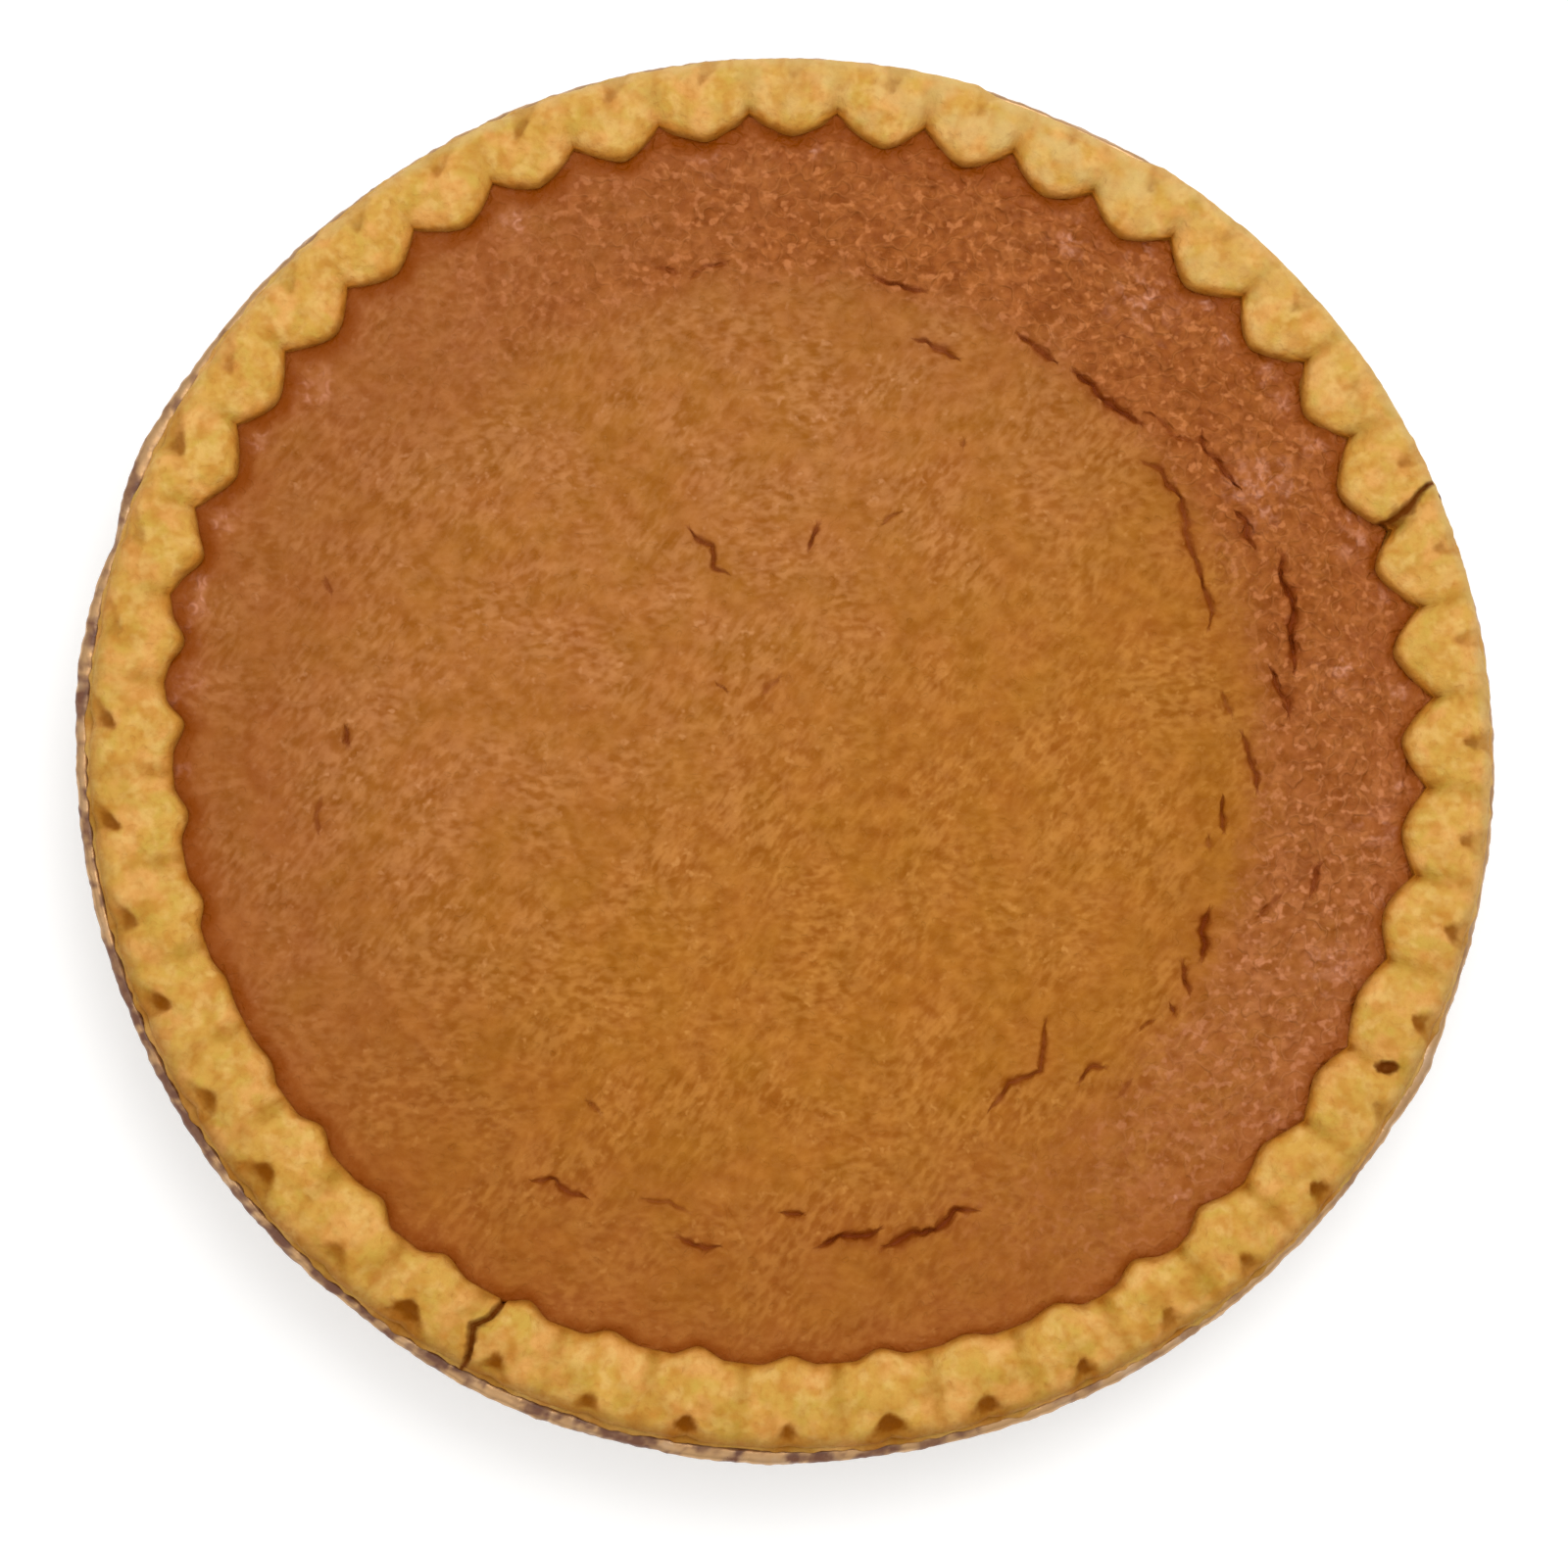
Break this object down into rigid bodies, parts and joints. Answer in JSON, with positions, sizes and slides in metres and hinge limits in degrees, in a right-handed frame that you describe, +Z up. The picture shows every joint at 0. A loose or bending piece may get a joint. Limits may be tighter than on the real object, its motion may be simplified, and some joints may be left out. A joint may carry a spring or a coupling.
{
  "type": "pumpkin pie",
  "caption": "Whole uncut pumpkin pie in its own round foil tin: fluted pastry rim, smooth baked custard filling with cracks round its edge, flat bottom to rest on.",
  "frame": {"origin": "middle of the tin's flat bottom, on the surface it stands on", "axes": "+Z up through the filling; +Y towards the top of the view from above, +X to its right"},
  "size_m": [0.3048, 0.3048, 0.0372],
  "materials": {
    "foil": "bright pressed foil, slightly wrinkled",
    "pastry": "matte golden baked shortcrust",
    "custard": "satin baked pumpkin custard with small pits and cracks"
  },
  "bodies": {
    "root": {"tin": "foil", "crust": "pastry", "filling": "custard"}
  },
  "joints": []
}
